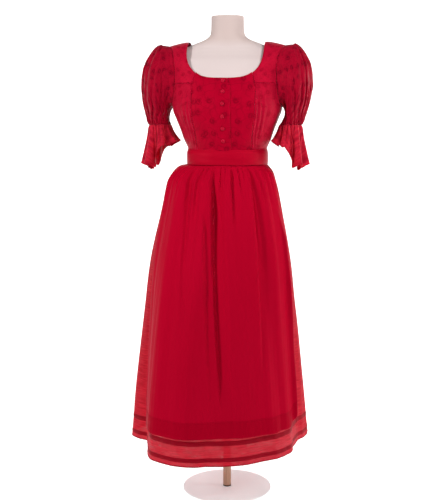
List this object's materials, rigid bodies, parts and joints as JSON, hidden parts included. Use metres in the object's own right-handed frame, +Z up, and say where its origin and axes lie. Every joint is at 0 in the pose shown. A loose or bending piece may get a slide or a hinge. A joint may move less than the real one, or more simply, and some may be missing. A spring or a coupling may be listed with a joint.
{
  "type": "dirndl on a dress form",
  "caption": "Red dirndl with puffed sleeves, ruffles, buttoned scoop-neck bodice, gathered skirt and apron, standing on a white limbless dress form with a wooden pole.",
  "frame": {"origin": "middle of the base's underside, on the floor", "axes": "+Z up, the garment's front faces -Y, the wearer's left is +X"},
  "size_m": [0.601, 0.57, 1.578],
  "materials": {
    "jacquard": "tone-on-tone woven scrolls, soft satin sheen",
    "button_cloth": "cloth-covered domes",
    "ruffle_cloth": "thin unlined cloth",
    "skirt_cloth": "sheer plain weave",
    "apron_cloth": "plain weave, soft sheen",
    "form_white": "smooth matte",
    "pole_wood": "plain oiled wood",
    "base_white": "white paint"
  },
  "bodies": {
    "root": {"bodice_front_right": "jacquard", "bodice_front_left": "jacquard", "side_front_right": "jacquard", "side_front_left": "jacquard", "yoke_right": "jacquard", "yoke_left": "jacquard", "bodice_back": "jacquard", "sleeve_right": "jacquard", "sleeve_left": "jacquard", "button_1": "button_cloth", "button_2": "button_cloth", "button_3": "button_cloth", "button_4": "button_cloth", "button_5": "button_cloth", "button_6": "button_cloth", "sleeve_ruffle_right": "ruffle_cloth", "sleeve_ruffle_left": "ruffle_cloth", "skirt_front": "skirt_cloth", "skirt_back": "skirt_cloth", "apron": "apron_cloth", "waistband": "apron_cloth", "bow_knot": "apron_cloth", "bow_loops": "apron_cloth", "bow_tail_right": "apron_cloth", "bow_tail_left": "apron_cloth", "form_torso": "form_white", "form_pole": "pole_wood", "form_base": "base_white"}
  },
  "joints": []
}
